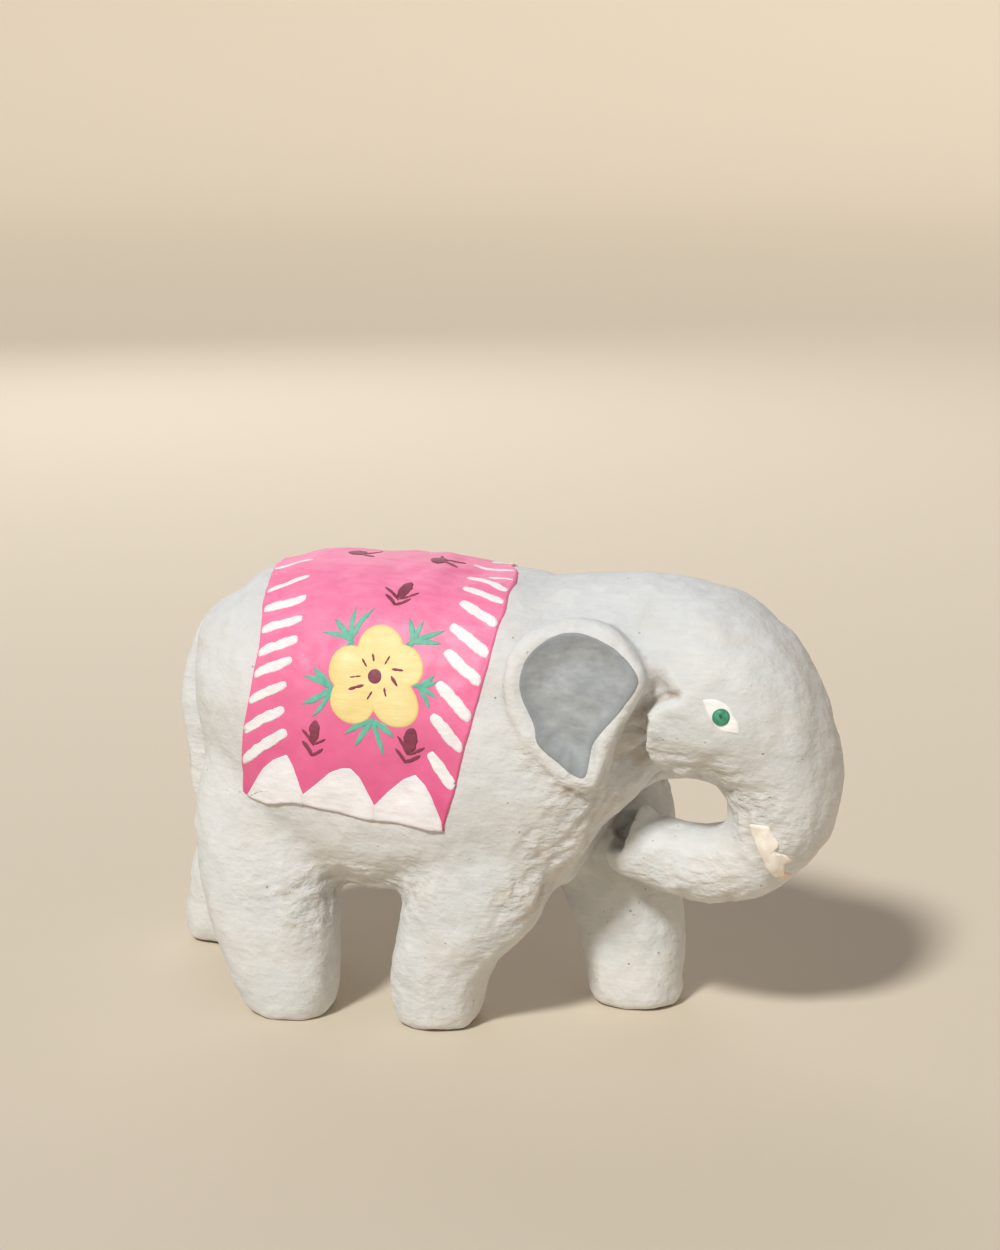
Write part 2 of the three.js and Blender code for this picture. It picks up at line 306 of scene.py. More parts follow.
# Poster colour: brushed on thick, a soft sheen, thin places letting the coat below show. The stroke is
# the size of a brush mark in millimetres, and hem is painted shade: a deeper tone lower down on the cloth.
def posterPaint(name, body, light, dark, below, stroke=(6, 6, 1), thin=0.2, roughness=0.55,
                rim=True, hem=None):
    material, shader = newMaterial(name, roughness)
    colour = coat(material, body, light, grain(material, (9, 9, 9)))
    # painted shade: the colour darkens to the hem tone from 80 mm down to 42 mm height
    if hem:
        where = addNode(material, "ShaderNodeTexCoord", {}).outputs["Object"]
        height = addNode(material, "ShaderNodeSeparateXYZ", {"Vector": where}).outputs["Z"]
        colour = coat(material, colour, hem, shareOf(material, height, 80 * mm, 42 * mm))
    streaks = grain(material, stroke, 0.32, 0.7)
    colour = coat(material, colour, dark, streaks, 0.55)
    colour = coat(material, colour, below, grain(material, (3.2, 3.2, 3.2), 0.56, 0.72), thin)
    if rim:  # paint gathers and darkens at the edge of a patch
        colour = coat(material, colour, dark, stored(material, "reach", 0.74, 1.0), 0.75)
    material.node_tree.links.new(colour, shader.inputs["Base Color"])
    specks = grain(material, (0.8, 0.8, 0.8), 0.25, 0.8, 4)
    relief(material, shader, [(streaks, 0.12, 0.5), (specks, 0.08, 0.35)])
    return material


# Bare beech inside: pale tan, fine grain along the dowel.
def makeBareWood():
    material, shader = newMaterial("bareBeech", 0.6)
    colour = coat(material, "#D8B98A", "#C49E6C", grain(material, (0.6, 0.6, 8)))
    material.node_tree.links.new(colour, shader.inputs["Base Color"])
    return material


skinPaint = makeSkinPaint()
bareWood = makeBareWood()
# its hem tone is painted shade, darker lower down on the cloth
pinkPaint = posterPaint("pinkPosterPaint", "#F983AF", "#FF92BA", "#F0729F", "#E8608F",
                        (5, 1.2, 4), 0.35, 0.5, rim=False, hem="#DD5289")
whitePaint = posterPaint("whitePosterPaint", "#F5F4F6", "#FBFAFB", "#E9E5E8", "#F1C6D6", (3, 3, 0.9), 0.25)
eyeWhite = posterPaint("whiteEyePaint", "#FDFDFB", "#FFFFFF", "#F3F3F0", "#E4E5E3", (2, 2, 1))
tanPaint = posterPaint("tanUndercoat", "#EED3B9", "#F5DEC8", "#E0BF9D", "#F6E7D6", (1.5, 1.5, 1.5), 0.5)
yellowPaint = posterPaint("yellowPosterPaint", "#F8E29D", "#FCECB2", "#F0D78C", "#F3D6A4", (4, 4, 1), 0.3)
maroonPaint = posterPaint("maroonPosterPaint", "#863A50", "#96485E", "#722C42", "#B34D74", (2, 2, 0.7), 0.4)
mintPaint = posterPaint("mintPosterPaint", "#66BFA6", "#78CDB6", "#4DA78E", "#B58FA0", (1, 1, 3), 0.3)
earPaint = posterPaint("greyEarPaint", "#A9AEB1", "#B7BBBD", "#888D91", "#9EA3A6",
                       (2.6, 2.6, 1.5), 0.5, 0.62)
creamPaint = posterPaint("creamTuskPaint", "#FCF6EC", "#FFFAF3", "#F4E8D8", "#D9CFC2", (2, 2, 3), 0.4)
irisPaint = posterPaint("greenBeadPaint", "#3F9A78", "#5DB594", "#22694E", "#2C7E61", (1, 1, 1), 0.2, 0.3)
nubPaint = posterPaint("darkGreenNubPaint", "#236E4F", "#3B8E6D", "#1A5A40", "#2C7E61",
                       (1, 1, 1), 0.2, 0.25)


# Skin: the CAD pieces go under one coat of filler and paint, and are parted again at their joints.

skinShape = {
    "puff": 0.3,  # mm, closes the glue lines; the smoothing takes it back
    "voxel": 0.55,  # mm
    "rounds": 60,  # of smoothing, which fills the inner corners
    "share": 0.5,  # of the way to its neighbours that a point goes in each round
    "earShare": 0.10,  # how much of the smoothing reaches the ears
    "earEdge": (0.4, 1.8),  # and how far from an ear that starts and ends, mm
    "earReach": 2.0,  # mm, past the end of both fades
    "tipShare": 0.04,  # the same for the trunk's tip
    "trunkTip": ((28, 0, 37), 9, 13),  # its middle, and where its share starts and ends
    "pullAcross": 0.6,  # pulls reach further across the figurine than along it
    "lumps": [(15, 0.8), (7, 0.5), (3.2, 0.26), (1.6, 0.09)],  # wavelength and height, mm
    "lumpTop": 0.35,  # lumps are flat above this part of their height
    "lastShare": 0.25,  # one light round of smoothing over the finished relief
    "cavityRounds": 10,  # smoothing that the hollows are measured from
    "jointDepths": [0.4, 1.2],  # the joint faces start this far under the surface
}

creaseShape = {
    "spacings": [(3.6, 0.5), (1.9, 0.45), (1.1, 0.25)],  # mm, and the share of each in the depth
    "stretch": 2.6,  # how much longer than wide they are
    "full": 0.3,  # a rough place is at full strength out to this part of its reach
    "end": 1.6,  # and fades out here
    "wander": (7, 1.6),  # wavelength and size of their bends, mm
    "limits": (-0.9, 0.45),  # mm, deepest and highest
}

# Places where the filler is left rough: middle on the right side, reach, strength, and how the
# creases run in side view.
downLeg, alongJaw, alongTrunk, upright = (-0.55, -0.83), (1, -0.1), (1, 0.15), (0.1, 1)
roughPlaces = [
    ((30, -17, 48), 8, 0.9, downLeg), ((24, -18, 38), 8, 1.0, downLeg), ((17, -18, 28), 8, 0.9, downLeg),
    ((11, -18, 19), 7, 0.5, downLeg), ((-14, -17, 28), 9, 0.8, alongTrunk),
    ((-4, -17, 30), 9, 0.7, downLeg), ((-26, -22, 25), 8, 0.8, alongTrunk),
    ((-34, -24, 30), 9, 0.4, alongTrunk), ((43, -14, 56), 6, 1.0, alongJaw),
    ((51, -12, 53), 7, 0.8, alongJaw), ((58, -11, 48), 7, 0.7, upright),
    ((62, -9, 42), 8, 0.5, upright), ((40, -6, 29), 8, 0.6, alongTrunk),
    ((51, -7, 30), 8, 0.7, alongTrunk), ((27, -22, 51), 6, 0.8, downLeg),
    ((22, -23, 57), 6, 0.5, downLeg), ((36, -18, 60), 7, 0.6, upright),
    ((-58, -10, 40), 12, 0.4, upright), ((-50, -18, 10), 8, 0.3, upright),
    ((-4, -20, 10), 9, 0.3, upright),
]

# Lines drawn into the filler: points on the right side, reach and depth (raised where negative).
pressedLines = [
    ([(45.5, -18.5, 69.9), (43.6, -18.4, 69.0), (41.6, -18, 67.8), (39.8, -17.6, 66.6)], 0.9, 1.3),
    ([(39.2, -17.5, 67), (38.4, -15.5, 62), (38.4, -13.5, 57)], 1.2, 0.5),
    ([(30.7, -16.8, 48), (22, -18, 35), (14, -19.5, 22), (6.6, -20.4, 12)], 1.5, -0.45),
    ([(57, -11.3, 47), (58, -11.3, 43), (59, -10.8, 39), (61, -9.5, 35.4), (62.2, -4, 31.2)], 1.1, 0.5),
]

# The cheek is a thick flap of filler: its ragged edge stands over the hollow of the throat.
flap = {
    "edge": [(46.5, 70.4), (44.4, 69.3), (42.2, 68.2), (40.6, 67.0), (39.6, 65.9), (40.4, 64.6),
             (39.7, 62.2), (39.3, 58.8), (39.9, 56.2), (40.9, 53.9), (43.0, 53.2), (46.0, 53.2),
             (49.5, 52.4)],
    "depth": 2.4,  # of the hollow beside the edge
    "reach": 8,  # and its width
    "bank": (-0.4, 0.7),  # from the top of the edge to the bottom of the hollow
    "floor": 1.5,  # the hollow rises again from here
    "raise": 0.5,  # of the edge itself
    "lip": 3.5,  # and the width of that
    "fade": (0.12, 0.85),  # parts of its length where it is at full strength
    "offEar": (0.3, 1.6),  # it stops this far from an ear
    "wander": (2.2, 0.5, 0.3),  # wavelength of the ragged edge, and its size forward and upward
    "within": (28, 6, 46),  # only further forward, further out and higher than this
}

# Places on the trunk's tip and the back that are drawn out: middle, reach and the way they move.
pulls = [
    ((33.8, 0, 42.6), 4.0, (0.5, 0, 2.3)), ((31.5, 0, 39.0), 3.0, (1.6, 0, 0)),
    ((29.8, 0, 36.2), 4.5, (4.6, 0, -0.2)), ((25.6, 0, 33.6), 4.5, (1.7, 0, 2.2)),
    ((-34, 0, 86), 15, (0, 0, 1.3)),
]


def fuseSkin():
    joined = bmesh.new()
    for name in skinNames + dowelNames:
        part = bmesh.new()
        part.from_mesh(nodes[name].data)
        bmesh.ops.remove_doubles(part, verts=part.verts, dist=tiny)
        part.normal_update()
        for vertex in part.verts:
            vertex.co += vertex.normal * skinShape["puff"] * mm
        copy = bpy.data.meshes.new(name + "Copy")
        part.to_mesh(copy)
        part.free()
        joined.from_mesh(copy)
        bpy.data.meshes.remove(copy)
    holder = newPiece("fused", joined, skinPaint)
    mesh = holder.data
    fuse = holder.modifiers.new("fuse", "REMESH")
    fuse.mode = "VOXEL"
    fuse.voxel_size = skinShape["voxel"] * mm
    bpy.context.view_layer.update()
    evaluated = holder.evaluated_get(bpy.context.evaluated_depsgraph_get())
    fused = bpy.data.meshes.new_from_object(evaluated)
    bpy.data.objects.remove(holder)
    bpy.data.meshes.remove(mesh)
    return fused


# How far each point is from a CAD node, up to reach.
def farFrom(name, points, reach):
    low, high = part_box(name)
    near = np.all((points > np.array(low) / mm - reach) & (points < np.array(high) / mm + reach), axis=1)
    far = np.full(len(points), float(reach))
    for i in np.nonzero(near)[0]:
        distance = nodeTrees[name].find_nearest(points[i] * mm, reach * mm)[3]
        if distance is not None:
            far[i] = distance / mm
    return far


def smoothSkin(points, edges):
    share = np.full(len(points), skinShape["share"])
    for name in earNames:
        toEar = farFrom(name, points, skinShape["earReach"])
        onEar = 1 - smoothStep(toEar, *skinShape["earEdge"])
        share = share * (1 - onEar * (1 - skinShape["earShare"]))
    middle, near, far = skinShape["trunkTip"]
    onTip = 1 - smoothStep(norm(points - np.array(middle), axis=1), near, far)
    share = share * (1 - onTip * (1 - skinShape["tipShare"]))
    return relax(points, edges, share, skinShape["rounds"])


# How far the creases move each point, and how much dirt they hold. Both sides have the rough places.
def creases(points):
    depth = np.zeros(len(points))
    dirt = np.zeros(len(points))
    full, end = creaseShape["full"], creaseShape["end"]
    wavelength, bend = creaseShape["wander"]
    for seed, (middle, reach, strength, run) in enumerate(roughPlaces):
        way = np.array(Vector((run[0], 0, run[1])).normalized())
        for y in (1, -1):
            centre = np.array(middle, float) * (1, y, 1)
            away = norm(points - centre, axis=1)
            near = np.nonzero(away < end * reach)[0]
            share = strength * (1 - smoothStep(away[near], full * reach, end * reach))
            local = points[near] - centre
            along = local @ way
            local = local - along[:, None] * way * (1 - 1 / creaseShape["stretch"])
            local = local + bend * noiseAt(points[near], wavelength, seed + 3)[:, None]
            for size, part in creaseShape["spacings"]:
                depth[near] += share * part * noiseAt(local, size, seed + size)
            dirt[near] = np.maximum(dirt[near], share)
    return np.clip(depth, *creaseShape["limits"]), dirt


# How far each point in side view is to the left of a line, and its place along it from 0 to 1.
def besideLine(points, line):
    best, left, along = (np.full(len(points), value) for value in (1e9, 0.0, 0.0))
    lengths = norm(np.diff(np.array(line), axis=0), axis=1)
    for k, (start, end) in enumerate(zip(line[:-1], line[1:])):
        way = np.array(end, float) - start
        t = np.clip((points - start) @ way / (way @ way), 0, 1)
        off = points - start - t[:, None] * way
        distance = norm(off, axis=1)
        closer = distance < best
        best[closer] = distance[closer]
        left[closer] = np.sign(way[1] * off[:, 0] - way[0] * off[:, 1])[closer]
        along[closer] = ((lengths[:k].sum() + t * lengths[k]) / lengths.sum())[closer]
    return best * left, along


def cheekFlap(points):
    rise = np.zeros(len(points))
    forward, outward, upward = flap["within"]
    wavelength, *size = flap["wander"]
    top, bottom = flap["bank"]
    first, last = flap["fade"]
    for name, sign in sides.items():
        inside = (points[:, 1] * sign > outward) & (points[:, 0] > forward) & (points[:, 2] > upward)
        near = np.nonzero(inside)[0]
        wander = noiseAt(points[near], wavelength, 71)[:, None] * size
        beside, along = besideLine(points[near][:, [0, 2]] + wander, flap["edge"])
        ends = smoothStep(along, 0.0, first) * smoothStep(along, 1.0, last)
        hollow = smoothStep(beside, top, bottom) * smoothStep(beside, flap["reach"], flap["floor"])
        lip = smoothStep(beside, -flap["lip"], top) * smoothStep(beside, -top, top)
        toEar = farFrom(f"ear_{name}", points[near], skinShape["earReach"])
        offEar = smoothStep(toEar, *flap["offEar"])
        rise[near] += ends * offEar * (flap["raise"] * lip - flap["depth"] * hollow)
    return rise


def shapeSkin(mesh):
    edges = read(mesh.edges, "vertices", np.int32, 2)
    points = smoothSkin(pointsOf(mesh), edges)
    for middle, reach, move in pulls:
        away = norm((points - middle) * (1, skinShape["pullAcross"], 1), axis=1)
        points = points + smoothStep(away, reach, 0)[:, None] * move
    setPoints(mesh, points)
    height, dirt = creases(points)
    height += cheekFlap(points)
    for seed, (wavelength, size) in enumerate(skinShape["lumps"]):
        height += size * np.minimum(noiseAt(points, wavelength, 40 + seed), skinShape["lumpTop"])
    for line, reach, depth in pressedLines:
        for y in (1, -1):
            distance = distanceToLine(points, np.array(line) * (1, y, 1))
            height -= depth * (1 - smoothStep(distance, 0, 2 * reach))
    raised = points + normalsOf(mesh) * height[:, None]
    shaped = relax(raised, edges, np.full(len(points), skinShape["lastShare"]), 1)
    low, high = np.array(cadBox[0]) / mm, np.array(cadBox[1]) / mm
    shaped = np.clip(shaped, low, high)  # never past the CAD model's own size
    setPoints(mesh, shaped)
    normals = normalsOf(mesh)
    level = relax(shaped, edges, np.full(len(points), skinShape["share"]), skinShape["cavityRounds"])
    # how far each point lies below its smoothed neighbours; the skin paint turns this into painted shade in
    # hollows and a painted highlight on bumps
    storeOnPoints(mesh, "cavity", np.einsum("ij,ij->i", level - shaped, normals))
    storeOnPoints(mesh, "dirt", dirt)
    storeOnPoints(mesh, "skinNormal", normals, "FLOAT_VECTOR")


parting = {
    "reach": 3.5,  # mm, how far from a face its CAD piece is looked for
    "rounds": 12,  # of voting, which straightens the borders
    "ownVote": 0.9,  # a face's own say against one neighbour's
    "island": 800,  # faces; a smaller patch goes to the piece around it
}


# The CAD piece nearest to each face, with ragged borders and islands voted away.
def shareOut(mesh):
    count = len(mesh.polygons)
    centres = read(mesh.polygons, "center").astype(float) / mm
    owner = np.argmin([farFrom(name, centres, parting["reach"]) for name in skinNames], axis=0)
    loopEdge = read(mesh.loops, "edge_index", np.int32, 1).ravel()
    loopFace = np.repeat(np.arange(count), [p.loop_total for p in mesh.polygons])
    pairs = loopFace[np.argsort(loopEdge, kind="stable")].reshape(-1, 2)
    kinds = len(skinNames)
    for _ in range(parting["rounds"]):
        own = np.bincount(np.arange(count) * kinds + owner, minlength=count * kinds)
        votes = own.astype(float) * parting["ownVote"]
        votes += np.bincount(pairs[:, 0] * kinds + owner[pairs[:, 1]], minlength=count * kinds)
        votes += np.bincount(pairs[:, 1] * kinds + owner[pairs[:, 0]], minlength=count * kinds)
        owner = np.argmax(votes.reshape(count, kinds), axis=1)
    neighbours = [[] for _ in range(count)]
    for a, b in pairs:
        neighbours[a].append(b)
        neighbours[b].append(a)
    seen = np.zeros(count, bool)
    for start in range(count):
        if seen[start]:
            continue
        island, rim, stack = [start], [], [start]
        seen[start] = True
        while stack:
            for other in neighbours[stack.pop()]:
                if owner[other] != owner[start]:
                    rim.append(owner[other])
                elif not seen[other]:
                    seen[other] = True
                    stack.append(other)
                    island.append(other)
        if len(island) < parting["island"] and rim:
            owner[island] = np.bincount(rim).argmax()
    return owner


# One piece of the coat, closed at its joints, with the whole skin's normals kept along them.
def skinPiece(name, own):
    bm = bmesh.new()
    bm.from_mesh(skin)
    bmesh.ops.delete(bm, geom=[f for f, mine in zip(bm.faces, own) if not mine], context="FACES")
    outer = set(bm.faces)
    layer = bm.verts.layers.float_vector["skinNormal"]
    for depth in skinShape["jointDepths"]:
        rim = [edge for edge in bm.edges if edge.is_boundary]
        wall = bmesh.ops.extrude_edge_only(bm, edges=rim)["geom"]
        for vertex in wall:
            if isinstance(vertex, bmesh.types.BMVert):
                vertex.co -= vertex[layer] * depth * mm
    rim = [edge for edge in bm.edges if edge.is_boundary]
    caps = bmesh.ops.holes_fill(bm, edges=rim, sides=0)["faces"]
    bmesh.ops.triangulate(bm, faces=caps)
    bmesh.ops.recalc_face_normals(bm, faces=bm.faces)
    openEdges = sum(edge.is_boundary for edge in bm.edges)
    piece = newPiece(name + "_skin", bm, skinPaint, set(bm.faces) - outer)
    mesh = piece.data
    outward = [v.vector for v in mesh.attributes["skinNormal"].data]
    normals = [None] * len(mesh.loops)
    for face in mesh.polygons:
        for loop in face.loop_indices:
            vertex = mesh.loops[loop].vertex_index
            normals[loop] = outward[vertex] if face.use_smooth else face.normal.copy()
    mesh.normals_split_custom_set(normals)
    mesh.attributes.remove(mesh.attributes["skinNormal"])
    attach(piece, "root")
    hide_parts(name)
    print("skin of", name, len(mesh.polygons), "faces, open edges", openEdges)


nodeTrees = {name: treeOf(nodes[name].data) for name in skinNames}
skin = fuseSkin()
shapeSkin(skin)
print("skin shaped", len(skin.polygons))
skinTree = treeOf(skin)
owners = shareOut(skin)
for kind, name in enumerate(skinNames):
    skinPiece(name, owners == kind)


# Saddle cloth: a thin painted sheet over the back, laid out by x and by the distance from the spine,
# which counts up on the right side and down on the left.

cloth = {
    "thick": 0.45,
    "sink": 0.35,  # how far its edge dips into the skin
    "round": 0.4,  # width of the rounded edge
    "bead": (0.1, 0.7, 0.45),  # of paint along the edge: height, distance in and width
    "back": 0.5,  # how far its underside lies below it
    "step": 0.6,
    "length": 48,  # front to rear, to space the grid
    "halfWidth": 60,  # from the spine to the hem
    "wobble": (5, 0.5, 3),  # of the edge: wavelength, size and how far in it reaches
    "middle": -16.0,  # x
    "axisHeight": 52,  # the back is measured in towards this line
    "clear": 42,  # from this far out
    "rear": [(0, -40.9), (12, -38.8), (18, -37.4), (27, -35.8), (36, -36), (46, -38.1), (53, -38.7),
             (60, -39)],
    "right": [(0, 8.8), (11, 11), (19, 11.4), (27, 11), (34, 9.8), (41, 8.3), (50, 6.4), (60, 3.7)],
    "left": [(0, 8.8), (5, 6.0), (11, 4.6), (19, 5.6), (27, 7), (34, 7.6), (41, 7.2), (50, 6),
             (60, 3.7)],
    "hem": [(-39.4, 52.8), (-38.8, 55.4), (-37.4, 57.4), (-35.2, 58.7), (-25.4, 60.1), (-15, 62.3),
            (-5, 62.0), (4, 60.9)],
}
rearEdge, hemEdge = lineThrough(cloth["rear"]), lineThrough(cloth["hem"])
frontEdges = {side: lineThrough(cloth[side]) for side in sides}

# The back is measured at these stations along x and at these angles from straight up.
back = {"from": -48, "to": 18, "step": 2.0, "widest": 126, "turn": 2.5}


def outFromAxis(tree, x, angle):
    way = Vector((0, -math.sin(angle), math.cos(angle)))
    return tree.ray_cast((Vector((x, 0, cloth["axisHeight"])) + way * cloth["clear"]) * mm, -way)


def measureBack():
    stations = np.arange(back["from"], back["to"], back["step"])
    angles = np.radians(np.arange(0, back["widest"], back["turn"]))
    girth = {}
    for side, sign in (("right", 1), ("left", -1)):
        rows = []
        for x in stations:
            hits = [np.array(outFromAxis(skinTree, x, sign * a)[0]) / mm for a in angles]
            rows.append(np.concatenate([[0], np.cumsum(norm(np.diff(hits, axis=0), axis=1))]))
        girth[side] = np.array(rows)
    return stations, angles, girth


backStations, backAngles, backGirth = measureBack()


# The angle at which the back lies that far from the spine.
def backAngle(x, along):
    side = "right" if along >= 0 else "left"
    at = np.clip((x - backStations[0]) / back["step"], 0, len(backStations) - 1.001)
    i = int(at)
    near, far = (np.interp(abs(along), backGirth[side][k], backAngles) for k in (i, i + 1))
    return math.copysign(near + (far - near) * (at - i), along)


# A point of the surface under a sheet or a painted patch, and the way out from it.
def onBack(tree, x, along):
    angle = backAngle(x, along)
    hit, normal = outFromAxis(tree, x, angle)[:2]
    if hit is None:  # just off the edge of the sheet
        hit, normal = outFromAxis(skinTree, x, angle)[:2]
    return hit, normal


# Fractions of a length, closer together at its two ends.
def edgeSteps(length, step):
    ends = np.array([0, 0.12, 0.26, 0.42, 0.7, 1.1]) / length  # mm, over the rounded edge
    inner = np.linspace(ends[-1], 1 - ends[-1], int(length / step))
    return np.concatenate([ends[:-1], inner, 1 - ends[-2::-1]])


def makeCloth():
    length, half = cloth["length"], cloth["halfWidth"]
    across, down = edgeSteps(length, cloth["step"]), edgeSteps(2 * half, cloth["step"])
    wavelength, waver, inwards = cloth["wobble"]
    bead, beadAt, beadWide = cloth["bead"]
    bm = bmesh.new()
    height, out = bm.verts.layers.float.new("height"), bm.verts.layers.float_vector.new("out")
    bmesh.ops.create_grid(bm, x_segments=len(across) - 1, y_segments=len(down) - 1, size=0.5)
    for vertex in bm.verts:
        u = across[round((vertex.co.x + 0.5) * (len(across) - 1))]
        v = down[round((vertex.co.y + 0.5) * (len(down) - 1))] * 2 - 1
        x = cloth["middle"]
        for _ in range(4):  # the edges and the hem depend on each other
            along = v * hemEdge(x)
            front = frontEdges["right" if along > 0 else "left"](abs(along))
            x = rearEdge(abs(along)) * (1 - u) + front * u
        wobble = noise.noise(Vector((x, along, 3)) / wavelength) * waver
        rim = min(u * length, (1 - u) * length, (1 - abs(v)) * half)
        if rim < inwards:
            x += wobble * (1 - rim / inwards)
            along += math.copysign(wobble, along) * (1 - rim / inwards)
        lift = -cloth["sink"] + (cloth["thick"] + cloth["sink"]) * smoothStep(rim, 0, cloth["round"])
        lift += bead * math.exp(-((rim - beadAt) / beadWide) ** 2)
        vertex.co, vertex[out] = onBack(skinTree, x, along)
        vertex[height] = lift
    thicken(bm, bm.faces[:], height, out, cloth["back"])
    bmesh.ops.recalc_face_normals(bm, faces=bm.faces)
    tree = BVHTree.FromBMesh(bm)
    return newPiece("saddle_cloth_sheet", bm, pinkPaint), tree


clothSheet, clothTree = makeCloth()
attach(clothSheet, "root")
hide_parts("saddle_cloth")
print("saddle cloth laid")


# Painted shapes: each is a thin closed patch laid on the surface. A square grid is drawn into a disc,
# and the disc is stretched out to the outline, which is a function of the turn from 0 to 2 pi.

patch = {
    "sink": 0.12,  # how far the rim dips below the surface, mm
    "round": 0.28,  # width of the rounded rim
    "back": 0.25,  # thickness
    "inHem": 0.3,  # patches on the cloth stop this far inside its hem
    "inEdge": 0.35,  # and its other edges
    "clear": 60,  # patches on the skin are pushed in from this far out
}


def discPoint(a, b):
    if a == 0 and b == 0:
        return 0.0, 0.0
    if abs(a) > abs(b):
        return abs(a), (math.pi / 4) * b / a + (math.pi if a < 0 else 0)
    return abs(b), math.pi / 2 - (math.pi / 4) * a / b + (math.pi if b < 0 else 0)


# Points of a closed line, straight between them, or smooth where they are joined by curves.
def closedOutline(points, smooth=False):
    ring = np.array(points, float)
    steps = norm(np.roll(ring, -1, axis=0) - ring, axis=1)
    starts = np.concatenate([[0], np.cumsum(steps)])

    def outline(turn):
        at = (turn / (2 * math.pi)) % 1 * starts[-1]
        i = min(int(np.searchsorted(starts, at, side="right")) - 1, len(ring) - 1)
        t = (at - starts[i]) / steps[i]
        before, here, there, after = (ring[(i + k) % len(ring)] for k in (-1, 0, 1, 2))
        if not smooth:
            return here + (there - here) * t
        return 0.5 * (2 * here + (there - before) * t + (2 * before - 5 * here + 4 * there - after) * t ** 2
                      + (3 * here - before - 3 * there + after) * t ** 3)
    return outline


# How the hand shows in a brush stroke: the taper of a leaf, and a waver of its width.
brush = {"taper": 1.6, "waver": 0.25, "turn": 7}


# A brush stroke from start to end. Blunt ends are nearly square, and a leaf runs out to points.
def stroke(start, end, width, bend=0.0, blunt=3.0, leaf=0.0):
    start, end = np.array(start, float), np.array(end, float)
    middle, half = (start + end) / 2, norm(end - start) / 2
    along = (end - start) / (2 * half)
    across = np.array([-along[1], along[0]])

    def outline(turn):
        c, s = math.cos(turn), math.sin(turn)
        reach = (abs(c) ** blunt + abs(s) ** blunt) ** (-1 / blunt)
        c, s = c * reach, s * reach
        thin = (1 - abs(c) ** brush["taper"]) ** leaf if leaf else 1.0
        waver = brush["waver"] * noise.noise(Vector((c * half, s, half * brush["turn"])))
        offset = s * thin * width / 2 * (1 + waver)
        return middle + along * c * half + across * (offset + bend * (1 - c * c))
    outline.middle = middle + across * bend
    return outline


# Round petals that overlap: the far edge of whichever circle reaches furthest.
def petals(centre, circles):
    def outline(turn):
        way = np.array([math.cos(turn), math.sin(turn)])
        reach = 0.0
        for x, y, radius in circles:
            offset = np.array([x, y]) - centre
            along = offset @ way
            room = radius ** 2 - offset @ offset + along ** 2
            if room > 0:
                reach = max(reach, along + math.sqrt(room))
        return np.array(centre) + way * reach
    return outline


def layPatch(bm, outline, centre, cells, place, lift, dome=0.0):
    made = bmesh.ops.create_grid(bm, x_segments=cells, y_segments=cells, size=1)["verts"]
    rim, height = bm.verts.layers.float["reach"], bm.verts.layers.float["height"]
    out = bm.verts.layers.float_vector["out"]
    centre = np.array(centre, float)
    for vertex in made:
        reach, turn = discPoint(vertex.co.x, vertex.co.y)
        way = outline(turn) - centre
        inner = (1 - reach) * norm(way)
        vertex[height] = -patch["sink"] + (lift + patch["sink"]) * smoothStep(inner, 0, patch["round"])
        vertex[height] += dome * (1 - reach * reach)
        vertex[rim] = reach
        vertex.co, vertex[out] = place(*(centre + way * reach))
    faces = list({face for vertex in made for face in vertex.link_faces})
    thicken(bm, faces, height, out, patch["back"])


def paintPiece(name, shapes, place, material, lift, cells=12, dome=0.0, replaces=None):
    bm = bmesh.new()
    for layer in ("reach", "height"):
        bm.verts.layers.float.new(layer)
    bm.verts.layers.float_vector.new("out")
    for outline, centre in shapes:
        layPatch(bm, outline, centre, cells, place, lift, dome)
    bmesh.ops.dissolve_degenerate(bm, dist=10 * tiny, edges=bm.edges)
    bmesh.ops.recalc_face_normals(bm, faces=bm.faces)
    print(name, len(bm.faces), "faces, open edges", sum(edge.is_boundary for edge in bm.edges))
    piece = newPiece(name, bm, material)
    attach(piece, "root")
    if replaces:
        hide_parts(replaces)


def strokes(rows, **form):
    outlines = [stroke(start, end, width, bend, **form) for start, end, width, bend in rows]
    return [(outline, outline.middle) for outline in outlines]


# On the cloth: x and the distance from the spine, kept inside the cloth's own edge.
def onCloth(side):
    def place(x, along):
        along = min(along, hemEdge(x) - patch["inHem"])
        rear, front = rearEdge(abs(along)), frontEdges[side](abs(along))
        x = min(max(x, rear + patch["inEdge"]), front - patch["inEdge"])
        return onBack(clothTree, x, -sides[side] * along)
    return place


# Seen from the side: x and z, pushed in along Y until they meet the skin.
def fromSide(side):
    def place(x, z):
        origin = Vector((x, sides[side] * patch["clear"], z)) * mm
        return skinTree.ray_cast(origin, Vector((0, -sides[side], 0)))[:2]
    return place


